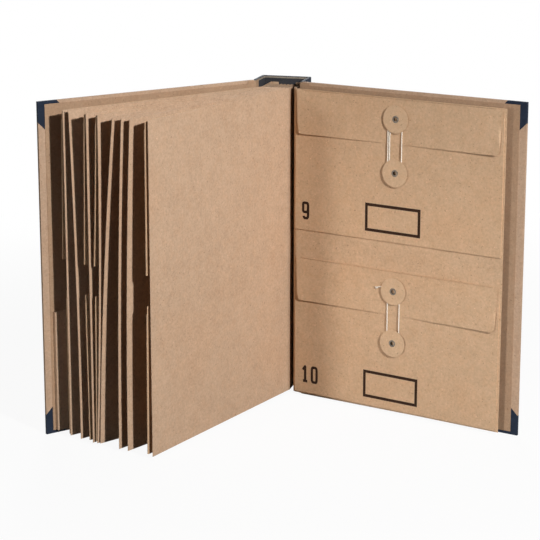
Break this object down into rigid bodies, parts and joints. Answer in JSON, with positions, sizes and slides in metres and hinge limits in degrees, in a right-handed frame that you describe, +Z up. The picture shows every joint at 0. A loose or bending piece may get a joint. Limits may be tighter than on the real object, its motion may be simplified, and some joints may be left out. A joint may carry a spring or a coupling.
{
  "type": "accordion file folder",
  "caption": "Book-style accordion file: hard kraft covers, navy cloth spine, pleated guard, plain dividers and leaves of button-and-string envelopes, standing open.",
  "frame": {"origin": "middle of the spine's bottom edge, on the surface the file stands on", "axes": "+Z up along the spine, the spine stands at the back and its channel opens towards -Y, +X towards the back cover"},
  "size_m": [0.4408, 0.2631, 0.325],
  "materials": {
    "greyboard": "matte",
    "book_cloth": "matte",
    "spine_lining": "matte",
    "guard_paper": "matte",
    "cover_paper": "matte",
    "lining_paper": "matte",
    "pocket_paper": "matte",
    "leaf_paper": "matte",
    "envelope_paper": "matte",
    "button_card": "matte",
    "eyelet_metal": "satin",
    "string": "matte"
  },
  "bodies": {
    "case": {"spine_board": "greyboard", "front_hinge_board": "greyboard", "back_hinge_board": "greyboard", "spine_cloth": "book_cloth", "spine_lining": "spine_lining", "accordion_guard": "guard_paper"},
    "front_cover": {"front_cover_board": "greyboard", "front_cover_paper": "cover_paper", "front_cover_lining": "lining_paper", "front_cover_corners": "book_cloth", "front_cover_pocket": "pocket_paper"},
    "back_cover": {"back_cover_board": "greyboard", "back_cover_paper": "cover_paper", "back_cover_lining": "lining_paper", "back_cover_corners": "book_cloth"},
    "leaf_1": {"leaf_1_sheet": "leaf_paper", "envelope_1": "envelope_paper", "envelope_2": "envelope_paper", "leaf_1_flaps": "envelope_paper", "leaf_1_buttons": "button_card", "leaf_1_eyelets": "eyelet_metal", "leaf_1_strings": "string"},
    "divider_1": {"divider_1": "leaf_paper"},
    "leaf_2": {"leaf_2_sheet": "leaf_paper", "envelope_3": "envelope_paper", "envelope_4": "envelope_paper", "leaf_2_flaps": "envelope_paper", "leaf_2_buttons": "button_card", "leaf_2_eyelets": "eyelet_metal", "leaf_2_strings": "string"},
    "leaf_3": {"leaf_3_sheet": "leaf_paper", "envelope_5": "envelope_paper", "envelope_6": "envelope_paper", "leaf_3_flaps": "envelope_paper", "leaf_3_buttons": "button_card", "leaf_3_eyelets": "eyelet_metal", "leaf_3_strings": "string"},
    "divider_2": {"divider_2": "leaf_paper"},
    "divider_3": {"divider_3": "leaf_paper"},
    "divider_4": {"divider_4": "leaf_paper"},
    "leaf_4": {"leaf_4_sheet": "leaf_paper", "envelope_7": "envelope_paper", "envelope_8": "envelope_paper", "leaf_4_flaps": "envelope_paper", "leaf_4_buttons": "button_card", "leaf_4_eyelets": "eyelet_metal", "leaf_4_strings": "string"},
    "leaf_5": {"leaf_5_sheet": "leaf_paper", "envelope_9": "envelope_paper", "envelope_10": "envelope_paper", "leaf_5_buttons": "button_card", "leaf_5_eyelets": "eyelet_metal"},
    "flap_9": {"flap_9": "envelope_paper", "flap_9_button": "button_card", "flap_9_eyelet": "eyelet_metal", "string_9": "string"},
    "flap_10": {"flap_10": "envelope_paper", "flap_10_button": "button_card", "flap_10_eyelet": "eyelet_metal", "string_10": "string"}
  },
  "joints": [
    {"name": "front_cover_hinge", "type": "hinge", "parent": "case", "child": "front_cover", "pos_m": [-0.0243, -0.033, 0], "axis": [0, 0, -1], "range_deg": [-39.5, 45]},
    {"name": "leaf_1_hinge", "type": "hinge", "parent": "case", "child": "leaf_1", "pos_m": [-0.01465, -0.037, 0], "axis": [0, 0, -1], "range_deg": [-36, 41.02]},
    {"name": "divider_1_hinge", "type": "hinge", "parent": "case", "child": "divider_1", "pos_m": [-0.01105, -0.037, 0], "axis": [0, 0, -1], "range_deg": [-33.41, 38.06]},
    {"name": "leaf_2_hinge", "type": "hinge", "parent": "case", "child": "leaf_2", "pos_m": [-0.00695, -0.037, 0], "axis": [0, 0, -1], "range_deg": [-30.1, 34.3]},
    {"name": "leaf_3_hinge", "type": "hinge", "parent": "case", "child": "leaf_3", "pos_m": [-0.00285, -0.037, 0], "axis": [0, 0, -1], "range_deg": [-28.01, 31.9]},
    {"name": "divider_2_hinge", "type": "hinge", "parent": "case", "child": "divider_2", "pos_m": [0.00075, -0.037, 0], "axis": [0, 0, -1], "range_deg": [-27.11, 30.88]},
    {"name": "divider_3_hinge", "type": "hinge", "parent": "case", "child": "divider_3", "pos_m": [0.00435, -0.037, 0], "axis": [0, 0, -1], "range_deg": [-24.11, 27.46]},
    {"name": "divider_4_hinge", "type": "hinge", "parent": "case", "child": "divider_4", "pos_m": [0.00795, -0.037, 0], "axis": [0, 0, -1], "range_deg": [-22, 25.07]},
    {"name": "leaf_4_hinge", "type": "hinge", "parent": "case", "child": "leaf_4", "pos_m": [0.01205, -0.037, 0], "axis": [0, 0, -1], "range_deg": [-17.2, 19.6]},
    {"name": "back_cover_hinge", "type": "hinge", "parent": "case", "child": "back_cover", "pos_m": [0.0243, -0.033, 0], "axis": [0, 0, 1], "range_deg": [-73.5, 16.5]},
    {"name": "leaf_5_hinge", "type": "hinge", "parent": "case", "child": "leaf_5", "pos_m": [0.01715, -0.037, 0], "axis": [0, 0, 1], "range_deg": [-72.3, 16.24]},
    {"name": "flap_9_crease", "type": "hinge", "parent": "leaf_5", "child": "flap_9", "pos_m": [0.12949, -0.07474, 0.3185], "axis": [-0.9527, 0.304, 0], "range_deg": [0, 177.5], "deforming": ["string_9"]},
    {"name": "flap_10_crease", "type": "hinge", "parent": "leaf_5", "child": "flap_10", "pos_m": [0.12949, -0.07474, 0.147], "axis": [-0.9527, 0.304, 0], "range_deg": [0, 177.5], "deforming": ["string_10"]}
  ],
  "couplings": [
    {"joint": "leaf_1_hinge", "follows": "front_cover_hinge", "ratio": 0.91139},
    {"joint": "divider_1_hinge", "follows": "front_cover_hinge", "ratio": 0.84557},
    {"joint": "leaf_2_hinge", "follows": "front_cover_hinge", "ratio": 0.76202},
    {"joint": "leaf_3_hinge", "follows": "front_cover_hinge", "ratio": 0.70886},
    {"joint": "divider_2_hinge", "follows": "front_cover_hinge", "ratio": 0.68608},
    {"joint": "divider_3_hinge", "follows": "front_cover_hinge", "ratio": 0.61013},
    {"joint": "divider_4_hinge", "follows": "front_cover_hinge", "ratio": 0.55696},
    {"joint": "leaf_4_hinge", "follows": "front_cover_hinge", "ratio": 0.43544},
    {"joint": "leaf_5_hinge", "follows": "back_cover_hinge", "ratio": 0.98367}
  ]
}
